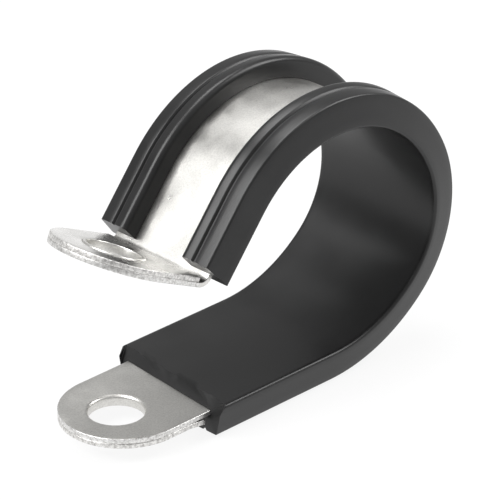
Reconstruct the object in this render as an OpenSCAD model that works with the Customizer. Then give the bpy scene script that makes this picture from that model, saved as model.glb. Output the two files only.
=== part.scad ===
// P clip: a bent steel band in a rubber liner, with a reinforcing plate held on each tab by a drawn collar.
// The loop is seen from the front in XZ, and the cable lies along Y. The origin is on the lower hole's axis
// at the outer face of the lower plate, and the lower tab points to -X.

/* [Band] */
// Width of the steel band
band_w = 15; // [12:0.5:16]
// Thickness of the steel band
band_t = 0.6; // [0.5:0.1:1]

/* [Loop] */
// Inner radius of the liner where the lower arm turns up
low_r = 18.6; // [16:0.1:24]
// Inner radius of the liner at the far side of the loop
side_r = 11.5; // [10:0.1:14]
// Inner radius of the liner over the top of the loop
top_r = 15.7; // [15:0.1:20]
// Angle that the low bend turns through
low_turn = 41.5; // [36:0.5:48]
// Angle that the side bend turns through
side_turn = 73.8; // [68:0.2:78]
// Angle that the top bend turns through
top_turn = 115.166; // [108:0.001:120]
// Length from the lower hole's axis to the start of the low bend
low_arm = 25.4; // [25:0.1:40]
// Length of band from the top bend to the bend of the upper tab
up_arm = 8.8; // [8.6:0.1:14]

/* [Tabs] */
// Diameter of the screw hole in each tab
hole_d = 6.4; // [5:0.1:7]
// How far the lower hole lies beyond the centre of its tab's round end
low_hole_out = 1.2; // [0:0.1:1.5]
// How far the upper hole lies beyond the centre of its tab's round end
up_hole_out = 0.2; // [0:0.1:1.5]
// Length of the upper tab from its bend to the centre of its round end
up_tab = 6.5; // [6:0.1:12]
// Angle that the band turns through into the upper tab
tab_turn = 75.696; // [60:0.001:86]
// Radius inside the bend of the upper tab
tab_bend_r = 1; // [0.8:0.1:1.6]
// Wall of the collar that is drawn out of each hole
collar_t = 0.45; // [0.3:0.05:0.6]
// How far each collar stands proud of its plate
collar_proud = 0.1; // [0.05:0.05:0.3]
// Radius of the drawn mouth of each hole
mouth_r = 0.4; // [0.2:0.05:0.45]

/* [Plates] */
// Thickness of each reinforcing plate
plate_t = 0.6; // [0.5:0.1:1]
// Gap between the liner and the lower plate's inner end
low_plate_gap = 1.4; // [1.2:0.1:2]
// Length of the lower plate that springs away from its tab
low_plate_spring = 2.8; // [2:0.1:3]
// How far the lower plate's inner end stands off its tab
low_plate_lift = 0.3; // [0.1:0.05:0.4]
// Gap between the bend and the upper plate's inner end
up_plate_gap = 0.2; // [0.1:0.1:1]
// Gap around each collar inside its plate
collar_play = 0.05; // [0.02:0.01:0.1]

/* [Liner] */
// Width of the liner's inner face
liner_w = 18.8; // [18.4:0.1:24]
// Rubber between the band and the cable
cushion = 1.05; // [0.8:0.05:2]
// Height of the lips above the band at their inner edges
lip_h = 2.5; // [2:0.1:3]
// Width of the band that is left bare between the lips
bare_w = 9; // [7:0.1:10]
// How far each flank leans in between the inner face and the lips
flank_lean = 0.8; // [0.4:0.1:1]
// How far each lip falls away towards its outer corner
lip_fall = 0.35; // [0.1:0.05:0.6]
// Distance from each lip's outer corner in to its groove
groove_in = 2.15; // [1.6:0.05:2.4]
// Depth of the groove along each lip
groove_depth = 0.3; // [0.2:0.05:0.5]
// Width of the groove along each lip
groove_w = 0.6; // [0.4:0.05:0.8]
// Rounding along the lips' inner edges
lip_edge_r = 0.7; // [0.3:0.05:0.9]
// Rounding along the outer corners and the inner face's edges
corner_r = 0.35; // [0.2:0.05:0.5]
// Gap between the liner and the band inside it
liner_play = 0.04; // [0.02:0.01:0.1]
// Length of the liner along the lower arm, at mid-width
liner_low = 17.4; // [14:0.1:17.4]
// Angle of the lower end's cut across the liner
low_cut_skew = 5; // [1:1:6]
// Bevel along the inner edge of the lower end
low_cut_bevel = 1; // [0.5:0.1:1.2]
// Length of the liner along the upper arm, at its inner face
liner_up = 8.8; // [6:0.1:8.8]
// Lean of the upper end's cut, which leaves the inner face longest
up_cut_lean = 10; // [5:1:16]

/* [Hidden] */
$fn = 96;

// Reach of cutting blocks past what they cut, and the steps in a rounded corner of the liner
reach = 20;
corner_steps = 4;

tab_r = band_w / 2;
hole_r = hole_d / 2;
collar_r = hole_r + collar_t;
collar_h = plate_t + collar_proud;

// Offsets out from the liner's inner face
band_out = cushion + band_t;
lip_out = band_out + lip_h;

// Height of the liner's inner face along the lower arm
face_z = plate_t + band_out;

// Angles in the side view run from +X towards +Z
low_end = low_turn - 90;
side_end = low_end + side_turn;
top_end = side_end + top_turn;
tab_normal = top_end - tab_turn;

function toward(angle) = [cos(angle), sin(angle)];

// Each bend runs on from the last one without a kink
low_centre = [low_arm, face_z + low_r];
side_centre = low_centre + (low_r - side_r) * toward(low_end);
top_centre = side_centre + (side_r - top_r) * toward(side_end);
tab_centre = top_centre + (top_r + band_out + tab_bend_r) * toward(top_end)
    + up_arm * toward(top_end + 90);

// Distances along the lower arm, out from the start of the low bend
low_tab = low_arm - low_hole_out;
low_plate_end = liner_low + low_plate_gap;

// Stands a side view, drawn in XY, up in XZ
module side_view() rotate([90, 0, 0]) children();

// A move in two steps, a coarse and a fine one, so that neighbours meet to the last digit
function coarse(v) = [for (x = v) floor(x * 1000) / 1000];
module shift(v) translate(coarse(v)) translate(v - coarse(v)) children();

// One bend of a section whose X is the offset outwards from the given radius
module bend(centre, radius, from, turn)
    shift(centre) rotate_extrude(start = from, angle = turn) translate([radius, 0]) children();

// Frame where a bend ends: X points outwards, Y along the band, with the liner's inner face at X = 0
module arm_frame(centre, radius, at) shift(centre + radius * toward(at)) rotate(at) children();

// A straight length of a section, from one distance along the band to another
module run(from, to) translate([0, to, 0]) rotate([90, 0, 0]) linear_extrude(to - from) children();

module three_bends() {
    bend(low_centre, low_r, -90, low_turn) children();
    bend(side_centre, side_r, low_end, side_turn) children();
    bend(top_centre, top_r, side_end, top_turn) children();
}

// Frames of the tabs: X runs along the tab from its bend, and +Z out of the face that carries the plate
module low_tab_frame() translate([low_arm, 0, plate_t]) rotate([0, 180, 0]) children();
module up_tab_frame() side_view() shift(tab_centre - tab_bend_r * toward(tab_normal))
    rotate(tab_normal) rotate([90, 0, 90]) children();

// Plan of a tab that starts square at its bend and ends round about x = len
module tab_plan(len) {
    translate([0, -tab_r]) square([len, band_w]);
    intersection() {
        translate([len, 0]) circle(tab_r);
        translate([len, -tab_r]) square([tab_r, band_w]);
    }
}

// Band of one tab, with the collar drawn out of it and the screw hole through both
module tab(len, hole_x) {
    difference() {
        union() {
            translate([0, 0, -band_t]) linear_extrude(band_t) tab_plan(len);
            translate([hole_x, 0, -band_t / 2]) cylinder(r = collar_r, h = band_t / 2 + collar_h);
        }
        translate([hole_x, 0, 0]) screw_hole();
    }
}

// Screw hole with a rounded mouth in the face of the band that a screw enters by
module screw_hole() rotate_extrude() {
    translate([0, -band_t - 1]) square([hole_r, band_t + collar_h + 2]);
    difference() {
        translate([0, -band_t - 1]) square([hole_r + mouth_r, mouth_r + 1]);
        translate([hole_r + mouth_r, mouth_r - band_t]) circle(mouth_r);
    }
}

module band_section(offset) translate([offset, -tab_r]) square([band_t, band_w]);

module steel_band() color("gainsboro") {
    low_tab_frame() tab(low_tab, low_arm);
    side_view() {
        three_bends() band_section(cushion);
        arm_frame(top_centre, top_r, top_end) run(0, up_arm) band_section(cushion);
        bend(tab_centre, tab_bend_r, tab_normal + 180, tab_turn) band_section(0);
    }
    up_tab_frame() tab(up_tab, up_tab + up_hole_out);
}

// Points that round the corner p between its neighbours a and b
function unit(v) = v / norm(v);
function rounded(a, p, b, r) =
    let (u = unit(a - p), v = unit(b - p), half = acos(u * v) / 2, centre = p + unit(u + v) * r / sin(half))
    let (from = unit(p + u * r / tan(half) - centre), to = unit(p + v * r / tan(half) - centre), turn = 180 - 2 * half)
    [for (i = [0:corner_steps]) let (t = turn * i / corner_steps)
        centre + r * (sin(turn - t) * from + sin(t) * to) / sin(turn)];

// Half of the liner's section, from its inner face round the lip to the pocket that holds the band
face_edge = [0, liner_w / 2];
lip_corner = [lip_out - lip_fall, liner_w / 2 - flank_lean];
lip_edge = [lip_out, bare_w / 2];
lip_foot = [band_out + liner_play, bare_w / 2];
lip_line = unit(lip_edge - lip_corner);
groove = lip_corner + lip_line * groove_in;
liner_half = concat(
    rounded([0, 0], face_edge, lip_corner, corner_r),
    rounded(face_edge, lip_corner, lip_edge, corner_r),
    [groove - lip_line * groove_w / 2, groove - [groove_depth, 0], groove + lip_line * groove_w / 2],
    rounded(lip_corner, lip_edge, lip_foot, lip_edge_r),
    [lip_foot, [band_out + liner_play, tab_r + liner_play], [cushion - liner_play, tab_r + liner_play]]
);

module liner_section() polygon(concat(
    liner_half,
    [for (i = [len(liner_half) - 1:-1:0]) [liner_half[i].x, -liner_half[i].y]]
));

// Block beyond the lower end's cut, drawn in the side view with the cut's foot at x = 0
module low_cut() linear_extrude(2 * reach, center = true) polygon([
    [-reach, -reach], [0, -reach], [0, face_z - low_cut_bevel],
    [low_cut_bevel + 1, face_z + 1], [-reach, face_z + 1]
]);

module rubber_liner() color("dimgray") {
    difference() {
        side_view() arm_frame(low_centre, low_r, -90) run(-liner_low - liner_w / 2, 0) liner_section();
        translate([low_arm - liner_low, 0, 0]) rotate(-low_cut_skew) side_view() low_cut();
    }
    side_view() {
        three_bends() liner_section();
        arm_frame(top_centre, top_r, top_end) difference() {
            run(0, liner_up) liner_section();
            translate([0, liner_up, 0]) rotate(-up_cut_lean) translate([-reach, 0, -reach])
                cube([2 * reach, reach, 2 * reach]);
        }
    }
}

// Reinforcing plate on a tab's outer face, from x = from, round a collar at hole_x
module plate(from, len, hole_x) difference() {
    intersection() {
        translate([0, 0, -1]) linear_extrude(plate_t + 2) tab_plan(len);
        children();
    }
    translate([hole_x, 0, -1]) cylinder(r = collar_r + collar_play, h = plate_t + 2);
}

module upper_plate() color("whitesmoke") up_tab_frame()
    plate(up_plate_gap, up_tab, up_tab + up_hole_out)
        translate([up_plate_gap, -tab_r, 0]) cube([up_tab + tab_r, band_w, plate_t]);

// Side of the lower plate, whose inner end springs away from the tab
low_plate_side = [
    [low_plate_end, low_plate_lift], [low_plate_end + low_plate_spring, 0], [low_tab + tab_r, 0],
    [low_tab + tab_r, plate_t], [low_plate_end + low_plate_spring, plate_t],
    [low_plate_end, plate_t + low_plate_lift]
];

module lower_plate() color("silver") low_tab_frame()
    plate(low_plate_end, low_tab, low_arm)
        rotate([90, 0, 0]) linear_extrude(band_w, center = true) polygon(low_plate_side);

steel_band();
rubber_liner();
upper_plate();
lower_plate();
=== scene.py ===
import math

import bmesh
import bpy
from mathutils import Matrix, Vector, noise
from mathutils.geometry import tessellate_polygon


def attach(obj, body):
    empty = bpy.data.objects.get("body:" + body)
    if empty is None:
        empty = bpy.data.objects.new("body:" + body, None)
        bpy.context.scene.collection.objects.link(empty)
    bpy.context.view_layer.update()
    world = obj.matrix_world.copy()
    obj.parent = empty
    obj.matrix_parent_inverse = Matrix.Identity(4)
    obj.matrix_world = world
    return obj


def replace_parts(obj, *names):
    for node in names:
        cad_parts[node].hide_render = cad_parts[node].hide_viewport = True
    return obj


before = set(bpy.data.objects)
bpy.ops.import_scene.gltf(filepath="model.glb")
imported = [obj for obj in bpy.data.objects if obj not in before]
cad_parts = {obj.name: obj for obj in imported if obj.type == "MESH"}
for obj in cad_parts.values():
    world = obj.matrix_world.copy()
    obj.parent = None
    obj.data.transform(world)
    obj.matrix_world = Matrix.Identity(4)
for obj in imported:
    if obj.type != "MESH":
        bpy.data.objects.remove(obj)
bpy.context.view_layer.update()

# ------------------------------------------------------------------------------------------------
# Steel band: one strip of zinc-plated steel, blanked with a round tab at each end and bent round
# the cable in three blends of different radius. Each screw hole is drawn through the tab, which
# leaves a soft mouth on one face and a short collar on the other.

MM = 0.001

band_w, band_t = 15.0, 0.6
band_edge = 0.09
low_r, side_r, top_r, tab_bend_r = 18.6, 11.5, 15.7, 1.0
low_turn, side_turn, top_turn, tab_turn = 41.5, 73.8, 115.166, 75.696
low_arm, up_arm, up_tab = 25.4, 8.8, 6.5
hole_r, collar_t, collar_proud, mouth_r = 3.2, 0.45, 0.1, 0.4
collar_round, collar_foot = 0.12, 0.1
low_hole_out, up_hole_out = 1.2, 0.2
plate_t, cushion = 0.6, 1.05
tab_root = 14.0
low_steps, side_steps, top_steps = 25, 33, 61
width_steps, round_steps = 13, 5

half_w = band_w / 2
collar_r = hole_r + collar_t
band_out = cushion + band_t
face_z = plate_t + band_out
low_end = low_turn - 90
side_end = low_end + side_turn
top_end = side_end + top_turn
tab_normal = top_end - tab_turn


def toward(angle):
    return Vector((math.cos(math.radians(angle)), math.sin(math.radians(angle))))


low_centre = Vector((low_arm, face_z + low_r))
side_centre = low_centre + (low_r - side_r) * toward(low_end)
top_centre = side_centre + (side_r - top_r) * toward(side_end)
tab_centre = top_centre + (top_r + band_out + tab_bend_r) * toward(top_end)
tab_centre += up_arm * toward(top_end + 90)


def spread(first, last, count):
    return [first + (last - first) * i / (count - 1) for i in range(count)]


def straight(centre, radius, at, distances):
    """Stations on a straight arm: a point of the liner's inner face, and the way out of it."""
    start, out, along = centre + radius * toward(at), toward(at), toward(at + 90)
    return [(start + along * d, out) for d in distances]


def curve(centre, radius, first, last, count):
    return [(centre + radius * toward(a), toward(a)) for a in spread(first, last, count)]


def three_bends():
    return (
        curve(low_centre, low_r, -90, low_end, low_steps)[1:]
        + curve(side_centre, side_r, low_end, side_end, side_steps)[1:]
        + curve(top_centre, top_r, side_end, top_end, top_steps)[1:]
    )


def tab_bend(count):
    reach = tab_bend_r + band_out
    angles = spread(top_end + 180, tab_normal + 180, count)
    return [(tab_centre + reach * toward(a), -toward(a)) for a in angles]


def standing(point, y):
    """A point of the side view, in millimetres, as a place in the frame."""
    return Vector((point.x, y, point.y)) * MM


def strip_section():
    """Round-edged section of the strip as (offset, y), starting on the outer face."""
    points = []
    for corner_x, corner_y, start in (
        (band_out - band_edge, half_w - band_edge, 0),
        (cushion + band_edge, half_w - band_edge, 90),
        (cushion + band_edge, band_edge - half_w, 180),
        (band_out - band_edge, band_edge - half_w, 270),
    ):
        for a in spread(start, start + 90, round_steps):
            d = toward(a)
            points.append((corner_x + band_edge * d.x, corner_y + band_edge * d.y))
    full = []
    for i, p in enumerate(points):
        q = points[(i + 1) % len(points)]
        full.append(p)
        if abs(p[1] - q[1]) > band_w / 2:
            full += [(p[0], y) for y in spread(p[1], q[1], width_steps)[1:-1]]
    return full


def skin(bm, rings):
    """Quads between closed rings of vertices, with the same number in each."""
    for a, b in zip(rings, rings[1:]):
        for i in range(len(a)):
            j = (i + 1) % len(a)
            bm.faces.new((a[i], a[j], b[j], b[i]))


def low_tab_place(x, y, z):
    return Vector((low_arm - x, y, plate_t - z)) * MM


tab_start = tab_centre - tab_bend_r * toward(tab_normal)


def up_tab_place(x, y, z):
    p = tab_start + x * toward(tab_normal + 90) + z * toward(tab_normal)
    return Vector((p.x, y, p.y)) * MM


def tab_outline(first, length, inset, square_end):
    """Points round a tab as (x, y, outward x, outward y, open), open where the strip runs on."""
    w = half_w - inset
    points = [(first, y, -1, 0, True) for y in spread(-w, w, width_steps)]
    points[0] = (first, -w, 0, -1, False)
    points[-1] = (first, w, 0, 1, False)
    if square_end:
        inner = first + inset
        points = [(inner, y, -1, 0, False) for y in spread(-w, w, 25)]
        points += [(inner, w, 0, 1, False)]
    points += [(x, w, 0, 1, False) for x in spread(first, length, 14)[1:]]
    for a in spread(90, -90, 61)[1:-1]:
        d = toward(a)
        points.append((length + w * d.x, w * d.y, d.x, d.y, False))
    points += [(x, -w, 0, -1, False) for x in spread(length, first, 14)[:-1]]
    if square_end:
        points += [(inner, -w, 0, -1, False)]
    return points


def holed_plate(bm, place, outline, hole_x, rows):
    """A plate as one closed profile carried round its hole. Rows are (kind, size, z)."""
    columns = []
    for x, y, nx, ny, is_open in outline:
        way = Vector((x - hole_x, y)).normalized()
        column = []
        for kind, size, z in rows:
            if kind == "hole":
                px, py = hole_x + size * way.x, size * way.y
            elif kind == "span":
                start, share = size
                px = (hole_x + start * way.x) * (1 - share) + x * share
                py = start * way.y * (1 - share) + y * share
            else:
                px, py = x + size * nx, y + size * ny
            column.append(bm.verts.new(place(px, py, z)))
        columns.append(column)
    rims = []
    count = len(rows)
    for i, a in enumerate(columns):
        b = columns[(i + 1) % len(columns)]
        open_here = outline[i][4] or outline[(i + 1) % len(outline)][4]
        for j in range(count):
            k = (j + 1) % count
            rim = rows[j][0] == "rim" or rows[k][0] == "rim" or k == 0
            if rim and open_here:
                continue
            face = bm.faces.new((a[j], a[k], b[k], b[j]))
            if rim:
                rims.append(face)
    return rims


def arc_rows(kind, centre, z, radius, first, last, count):
    ways = [toward(a) for a in spread(first, last, count)]
    return [(kind, centre + radius * d.x, z + radius * d.y) for d in ways]


def tab_rows():
    """Profile of a tab: in along the plated face, over the collar, down the hole and out again."""
    foot = collar_r + collar_foot
    top = plate_t + collar_proud - collar_round
    rows = [("span", (foot, s), 0) for s in (1, 0.75, 0.5, 0.25)]
    rows += arc_rows("hole", foot, collar_foot, collar_foot, 270, 180, 4)
    rows += arc_rows("hole", collar_r - collar_round, top, collar_round, 0, 90, round_steps)
    rows += arc_rows("hole", hole_r + collar_round, top, collar_round, 90, 180, round_steps)
    rows += arc_rows("hole", hole_r + mouth_r, mouth_r - band_t, mouth_r, 180, 270, 9)
    rows += [("span", (hole_r + mouth_r, s), -band_t) for s in (0.25, 0.5, 0.75, 1)]
    rows += arc_rows("rim", 0, band_edge - band_t, band_edge, -90, 0, round_steps)[1:]
    rows += arc_rows("rim", 0, -band_edge, band_edge, 0, 90, round_steps)[:-1]
    return rows


def finished(name, bm, materials, angle=32):
    bmesh.ops.remove_doubles(bm, verts=bm.verts, dist=0.0005 * MM)
    bmesh.ops.recalc_face_normals(bm, faces=bm.faces)
    mesh = bpy.data.meshes.new(name)
    bm.to_mesh(mesh)
    bm.free()
    for m in materials:
        mesh.materials.append(m)
    mesh.polygons.foreach_set("use_smooth", [True] * len(mesh.polygons))
    mesh.set_sharp_from_angle(angle=math.radians(angle))
    piece = bpy.data.objects.new(name, mesh)
    bpy.context.scene.collection.objects.link(piece)
    return piece


def node_of(tree, kind, **inputs):
    node = tree.nodes.new(kind)
    for key, value in inputs.items():
        node.inputs[key.replace("_", " ")].default_value = value
    return node


def ramp(tree, value, stops):
    node = tree.nodes.new("ShaderNodeValToRGB")
    tree.links.new(value, node.inputs["Fac"])
    elements = node.color_ramp.elements
    while len(elements) < len(stops):
        elements.new(0.5)
    for element, (at, colour) in zip(elements, stops):
        element.position = at
        element.color = (*colour, 1) if len(colour) == 3 else colour
    return node.outputs["Color"]


def zinc(name, light, dark, rough_low, rough_high, grain):
    """Zinc plating: a fine crystal grain in colour and bump, over slow clouds of gloss."""
    material = bpy.data.materials.new(name)
    material.use_nodes = True
    tree = material.node_tree
    shader = tree.nodes["Principled BSDF"]
    shader.inputs["Metallic"].default_value = 1.0
    place = tree.nodes.new("ShaderNodeTexCoord").outputs["Object"]
    fine = node_of(tree, "ShaderNodeTexNoise", Scale=grain, Detail=4.0, Roughness=0.65)
    cloud = node_of(tree, "ShaderNodeTexNoise", Scale=260.0, Detail=3.0, Roughness=0.5)
    for n in (fine, cloud):
        tree.links.new(place, n.inputs["Vector"])
    colour = ramp(tree, fine.outputs["Fac"], [(0.3, dark), (0.62, light)])
    tree.links.new(colour, shader.inputs["Base Color"])
    gloss = node_of(
        tree, "ShaderNodeMapRange", From_Min=0.3, From_Max=0.7, To_Min=rough_low, To_Max=rough_high
    )
    tree.links.new(cloud.outputs["Fac"], gloss.inputs["Value"])
    tree.links.new(gloss.outputs["Result"], shader.inputs["Roughness"])
    bump = node_of(tree, "ShaderNodeBump", Strength=0.25, Distance=0.00003)
    tree.links.new(fine.outputs["Fac"], bump.inputs["Height"])
    tree.links.new(bump.outputs["Normal"], shader.inputs["Normal"])
    return material


band_zinc = zinc(
    "zinc_plated_band", light=(0.78, 0.77, 0.74), dark=(0.62, 0.61, 0.585),
    rough_low=0.26, rough_high=0.40, grain=5200.0
)
sheared_zinc = zinc(
    "sheared_band_edge", light=(0.86, 0.855, 0.84), dark=(0.42, 0.41, 0.40),
    rough_low=0.30, rough_high=0.52, grain=3200.0
)

bm = bmesh.new()
section = strip_section()
stations = straight(low_centre, low_r, -90, spread(-tab_root, 0, 15))
stations += three_bends()
stations += straight(top_centre, top_r, top_end, spread(0, up_arm, 12)[1:])
stations += tab_bend(15)[1:]
rings = [[bm.verts.new(standing(p + offset * out, y)) for offset, y in section] for p, out in stations]
skin(bm, rings)
rims = holed_plate(
    bm, low_tab_place, tab_outline(tab_root, low_arm - low_hole_out, band_edge, False), low_arm, tab_rows()
)
rims += holed_plate(
    bm, up_tab_place, tab_outline(0, up_tab, band_edge, False), up_tab + up_hole_out, tab_rows()
)
for face in rims:
    face.material_index = 1
band = finished("steel_strip", bm, [band_zinc, sheared_zinc])
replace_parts(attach(band, "root"), "steel_band")

# ------------------------------------------------------------------------------------------------
# Upper plate: a bright zinc-plated reinforcing plate, cut to the tab's outline. It lies on the
# tab's outer face, and the collar drawn through it holds it there.

up_plate_gap, collar_play = 0.2, 0.05
plate_edge, plate_hole_edge = 0.1, 0.06


def plate_rows():
    """Profile of a plate: in along its seated face, up the hole, and out along its outer face."""
    edge = plate_hole_edge
    ring = collar_r + collar_play + edge
    rows = [("span", (ring, s), 0) for s in (1, 0.75, 0.5, 0.25, 0)]
    rows += arc_rows("hole", ring, edge, edge, 250, 180, 3)
    rows += arc_rows("hole", ring, plate_t - edge, edge, 180, 90, 4)
    rows += [("span", (ring, s), plate_t) for s in (0.25, 0.5, 0.75, 1)]
    rows += arc_rows("rim", 0, plate_t - plate_edge, plate_edge, 90, 0, round_steps)[1:]
    rows += arc_rows("rim", 0, plate_edge, plate_edge, 0, -90, round_steps)[:-1]
    return rows


plate_zinc = zinc(
    "zinc_plated_plate", light=(0.84, 0.83, 0.81), dark=(0.72, 0.71, 0.69),
    rough_low=0.20, rough_high=0.34, grain=5200.0
)
sheared_plate = zinc(
    "sheared_plate_edge", light=(0.88, 0.87, 0.85), dark=(0.36, 0.35, 0.34),
    rough_low=0.30, rough_high=0.55, grain=3000.0
)

bm = bmesh.new()
outline = tab_outline(up_plate_gap, up_tab, plate_edge, True)
for face in holed_plate(bm, up_tab_place, outline, up_tab + up_hole_out, plate_rows()):
    face.material_index = 1
upper = finished("upper_reinforcing_plate", bm, [plate_zinc, sheared_plate])
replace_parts(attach(upper, "root"), "upper_plate")

# ------------------------------------------------------------------------------------------------
# Lower plate: the same plate under the other tab, where it takes the screw's thrust. Its square
# inner end springs a little away from the band, short of the liner.

liner_low, low_plate_gap = 17.4, 1.4
low_plate_spring, low_plate_lift = 2.8, 0.3
low_plate_end = liner_low + low_plate_gap


def sprung_place(x, y, z):
    """A place on the lower plate, lifted off the tab along the sprung part of its length."""
    share = max(0.0, 1 - (x - low_plate_end) / low_plate_spring)
    return low_tab_place(x, y, z + low_plate_lift * share * share * (2 - share) if share else z)


bm = bmesh.new()
outline = tab_outline(low_plate_end, low_arm - low_hole_out, plate_edge, True)
for face in holed_plate(bm, sprung_place, outline, low_arm, plate_rows()):
    face.material_index = 1
lower = finished("lower_reinforcing_plate", bm, [plate_zinc, sheared_plate])
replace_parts(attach(lower, "root"), "lower_plate")

# ------------------------------------------------------------------------------------------------
# Rubber liner: black extruded rubber that is slid over the band. A flat cushion faces the cable,
# and a grooved lip curls over each edge of the band and leaves its middle bare. The lower end is
# torn off roughly, and the upper end is cut clean.

liner_w, lip_h, bare_w = 18.8, 2.5, 9.0
flank_lean, lip_fall = 0.8, 0.35
groove_in, groove_depth, groove_w = 2.15, 0.3, 0.6
lip_edge_r, corner_r, liner_play = 0.7, 0.35, 0.04
low_cut_skew, low_cut_bevel = 5.0, 1.0
liner_up, up_cut_lean = 8.8, 10.0
tear_depth, tear_reach = 0.28, 2.2
low_arm_steps, up_arm_steps = 22, 11
lip_out = band_out + lip_h


def rounded(a, p, b, radius, steps):
    """Points round the corner p, between the sides that come from a and go on to b."""
    u, v = (a - p).normalized(), (b - p).normalized()
    half = math.acos(max(-1, min(1, u.dot(v)))) / 2
    centre = p + (u + v).normalized() * radius / math.sin(half)
    first = (p + u * radius / math.tan(half) - centre).normalized()
    last = (p + v * radius / math.tan(half) - centre).normalized()
    turn = math.pi - 2 * half
    points = []
    for t in spread(0, turn, steps):
        way = math.sin(turn - t) * first + math.sin(t) * last
        points.append(centre + radius * way / math.sin(turn))
    return points


def half_section():
    """Half of the section as (offset, y), from the inner face round the lip to the band's pocket."""
    face_edge = Vector((0, liner_w / 2))
    corner = Vector((lip_out - lip_fall, liner_w / 2 - flank_lean))
    edge = Vector((lip_out, bare_w / 2))
    foot = Vector((band_out + liner_play, bare_w / 2))
    line = (edge - corner).normalized()
    groove = corner + line * groove_in
    deep, shallow = Vector((groove_depth, 0)), Vector((0.04, 0))
    mouth, shoulder, floor = line * groove_w * 0.6, line * groove_w * 0.42, line * 0.08
    points = [Vector((0, y)) for y in spread(0, 8.6, 9)]
    points += rounded(Vector((0, 0)), face_edge, corner, corner_r, 6)
    points += [face_edge.lerp(corner, s) for s in (0.3, 0.5, 0.7)]
    points += rounded(face_edge, corner, edge, corner_r, 6)
    points += [corner.lerp(groove, 0.55)]
    points += [groove - mouth, groove - shoulder - shallow, groove - deep - floor]
    points += [groove - deep + floor, groove + shoulder - shallow, groove + mouth]
    points += [groove.lerp(edge, 0.6)]
    points += rounded(corner, edge, foot, lip_edge_r, 8)
    points += [foot, Vector((band_out + liner_play, half_w + liner_play))]
    points += [Vector((cushion - liner_play, half_w + liner_play))]
    return points


def low_start(offset, y):
    """Distance along the lower arm at which the torn end starts, for a point of the section."""
    bevel = low_cut_bevel * max(0.0, 1 - offset / low_cut_bevel)
    return -liner_low + math.tan(math.radians(low_cut_skew)) * y + bevel


def tear(offset, y):
    """How far the torn end strays from its cut: most at the inner face, and nothing at the lips."""
    coarse = noise.noise(Vector((y * 1.7, offset * 0.9, 3.1)))
    fine = noise.noise(Vector((y * 4.3, offset * 2, 7.7)))
    return tear_depth * (coarse + 0.6 * fine) * max(0.0, 1 - offset / tear_reach)


def rubber(name):
    """Black rubber with a satin skin: faint flow marks, a fine pitting and a little dust."""
    material = bpy.data.materials.new(name)
    material.use_nodes = True
    tree = material.node_tree
    shader = tree.nodes["Principled BSDF"]
    shader.inputs["Specular IOR Level"].default_value = 0.42
    place = tree.nodes.new("ShaderNodeTexCoord").outputs["Object"]
    fine = node_of(tree, "ShaderNodeTexNoise", Scale=2600.0, Detail=3.0, Roughness=0.6)
    cloud = node_of(tree, "ShaderNodeTexNoise", Scale=170.0, Detail=4.0, Roughness=0.55)
    for n in (fine, cloud):
        tree.links.new(place, n.inputs["Vector"])
    blacks = [(0.3, (0.008, 0.008, 0.0082)), (0.7, (0.014, 0.014, 0.0142))]
    colour = ramp(tree, cloud.outputs["Fac"], blacks)
    tree.links.new(colour, shader.inputs["Base Color"])
    gloss = node_of(tree, "ShaderNodeMapRange", From_Min=0.3, From_Max=0.7, To_Min=0.30, To_Max=0.38)
    tree.links.new(cloud.outputs["Fac"], gloss.inputs["Value"])
    tree.links.new(gloss.outputs["Result"], shader.inputs["Roughness"])
    bump = node_of(tree, "ShaderNodeBump", Strength=0.12, Distance=0.00002)
    tree.links.new(fine.outputs["Fac"], bump.inputs["Height"])
    tree.links.new(bump.outputs["Normal"], shader.inputs["Normal"])
    return material


half = half_section()
section = half + [Vector((p.x, -p.y)) for p in reversed(half[1:])]
middle = Vector((cushion - liner_play, 0))
section.insert(len(half), middle)

bm = bmesh.new()
rings = []
for share in spread(0, 1, low_arm_steps):
    ring = []
    for p in section:
        first = low_start(p.x, p.y) + tear(p.x, p.y)
        point, out = straight(low_centre, low_r, -90, [first * (1 - share)])[0]
        ring.append(bm.verts.new(standing(point + p.x * out, p.y)))
    rings.append(ring)
for point, out in three_bends():
    rings.append([bm.verts.new(standing(point + p.x * out, p.y)) for p in section])
for share in spread(0, 1, up_arm_steps)[1:]:
    ring = []
    for p in section:
        last = liner_up - math.tan(math.radians(up_cut_lean)) * p.x
        point, out = straight(top_centre, top_r, top_end, [last * share])[0]
        ring.append(bm.verts.new(standing(point + p.x * out, p.y)))
    rings.append(ring)
skin(bm, rings)
flat = [Vector((p.x, p.y, 0)) for p in section]
for ring in (rings[0], rings[-1]):
    for a, b, c in tessellate_polygon([flat]):
        bm.faces.new((ring[a], ring[b], ring[c]))
liner = finished("rubber_cushion", bm, [rubber("black_rubber")], angle=40)
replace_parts(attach(liner, "root"), "rubber_liner")

# ------------------------------------------------------------------------------------------------
# Studio: the clip lies on the lips of its lower arm, on a white sheet under soft boxes. The sheet
# and the room behind show plain white, and the sheet keeps a faint shadow.

floor_z = (face_z - lip_out) * MM


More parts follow.
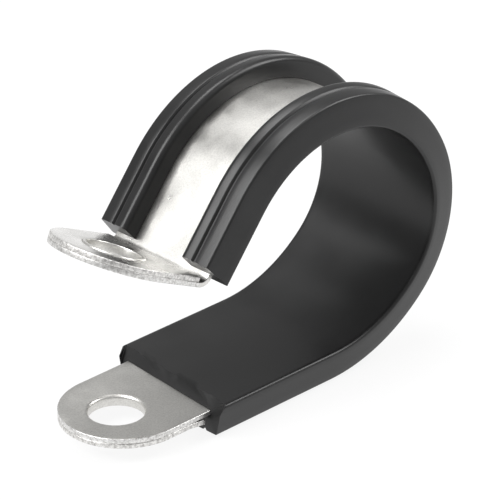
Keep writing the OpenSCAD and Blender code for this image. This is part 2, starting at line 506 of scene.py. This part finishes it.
def white_ground(name, shade):
    """White to the eye and in reflections, with a share of real shading for the shadow."""
    material = bpy.data.materials.new(name)
    material.use_nodes = True
    tree = material.node_tree
    tree.nodes.clear()
    out = tree.nodes.new("ShaderNodeOutputMaterial")
    matt = node_of(tree, "ShaderNodeBsdfDiffuse", Color=(0.9, 0.9, 0.9, 1))
    glow = node_of(tree, "ShaderNodeEmission", Color=(1, 1, 1, 1), Strength=1.0)
    path = tree.nodes.new("ShaderNodeLightPath")
    seen = node_of(tree, "ShaderNodeMath")
    seen.operation = "MAXIMUM"
    tree.links.new(path.outputs["Is Camera Ray"], seen.inputs[0])
    tree.links.new(path.outputs["Is Glossy Ray"], seen.inputs[1])
    share = node_of(tree, "ShaderNodeMath")
    share.operation = "MULTIPLY"
    share.inputs[1].default_value = 1 - shade
    tree.links.new(seen.outputs["Value"], share.inputs[0])
    mix = tree.nodes.new("ShaderNodeMixShader")
    tree.links.new(share.outputs["Value"], mix.inputs["Fac"])
    tree.links.new(matt.outputs["BSDF"], mix.inputs[1])
    tree.links.new(glow.outputs["Emission"], mix.inputs[2])
    tree.links.new(mix.outputs["Shader"], out.inputs["Surface"])
    return material


bm = bmesh.new()
bmesh.ops.create_grid(bm, x_segments=2, y_segments=2, size=1.5)
bmesh.ops.translate(bm, verts=bm.verts, vec=(0, 0, floor_z))
sheet = finished("white_sheet", bm, [white_ground("white_sheet", shade=0.12)])

world = bpy.data.worlds.new("white_room")
bpy.context.scene.world = world
world.use_nodes = True
tree = world.node_tree
tree.nodes.clear()
out = tree.nodes.new("ShaderNodeOutputWorld")
room = node_of(tree, "ShaderNodeBackground", Color=(1, 1, 1, 1), Strength=0.45)
seen_white = node_of(tree, "ShaderNodeBackground", Color=(1, 1, 1, 1), Strength=1.0)
path = tree.nodes.new("ShaderNodeLightPath")
mix = tree.nodes.new("ShaderNodeMixShader")
tree.links.new(path.outputs["Is Camera Ray"], mix.inputs["Fac"])
tree.links.new(room.outputs["Background"], mix.inputs[1])
tree.links.new(seen_white.outputs["Background"], mix.inputs[2])
tree.links.new(mix.outputs["Shader"], out.inputs["Surface"])

clip_middle = Vector((0.020, 0.0, 0.014))


def soft_box(name, azimuth, elevation, distance, size, power):
    """A square soft box that faces the clip, placed by its bearing and height in degrees."""
    a, e = math.radians(azimuth), math.radians(elevation)
    lamp = bpy.data.lights.new(name, "AREA")
    lamp.shape = "RECTANGLE"
    lamp.size, lamp.size_y = size
    lamp.energy = power
    box = bpy.data.objects.new(name, lamp)
    back = Vector((math.sin(a) * math.cos(e), -math.cos(a) * math.cos(e), math.sin(e)))
    box.location = clip_middle + back * distance
    box.rotation_euler = (-back).to_track_quat("-Z", "Y").to_euler()
    bpy.context.scene.collection.objects.link(box)


soft_box("left_soft_box", -110, 48, 0.6, (0.35, 0.35), 3.0)
soft_box("right_soft_box", 60, 40, 0.6, (0.30, 0.30), 2.0)
soft_box("top_soft_box", 150, 75, 0.6, (0.30, 0.30), 2.0)

camera_data = bpy.data.cameras.new("camera")
camera_data.sensor_width = 36
camera_data.lens = 269.7
camera = bpy.data.objects.new("camera", camera_data)
camera_azimuth, camera_elevation, camera_distance = -45.01, 26.4, 0.430
look_in, look_left, look_down = 3746, 57.2, 40.15
a, e = math.radians(camera_azimuth), math.radians(camera_elevation)
aim = standing(side_centre, 0)
back = Vector((math.sin(a) * math.cos(e), -math.cos(a) * math.cos(e), math.sin(e)))
right = Vector((math.cos(a), math.sin(a), 0))
above = right.cross(-back)
camera.location = aim + back * camera_distance
# The camera looks a little past the clip and stays level
look = -back * look_in - right * look_left - above * look_down
square_on = Matrix((right, above, back)).transposed()
camera.rotation_euler = ((-back).rotation_difference(look).to_matrix() @ square_on).to_euler()
bpy.context.scene.collection.objects.link(camera)
bpy.context.scene.camera = camera
bpy.context.scene.view_settings.view_transform = "Standard"
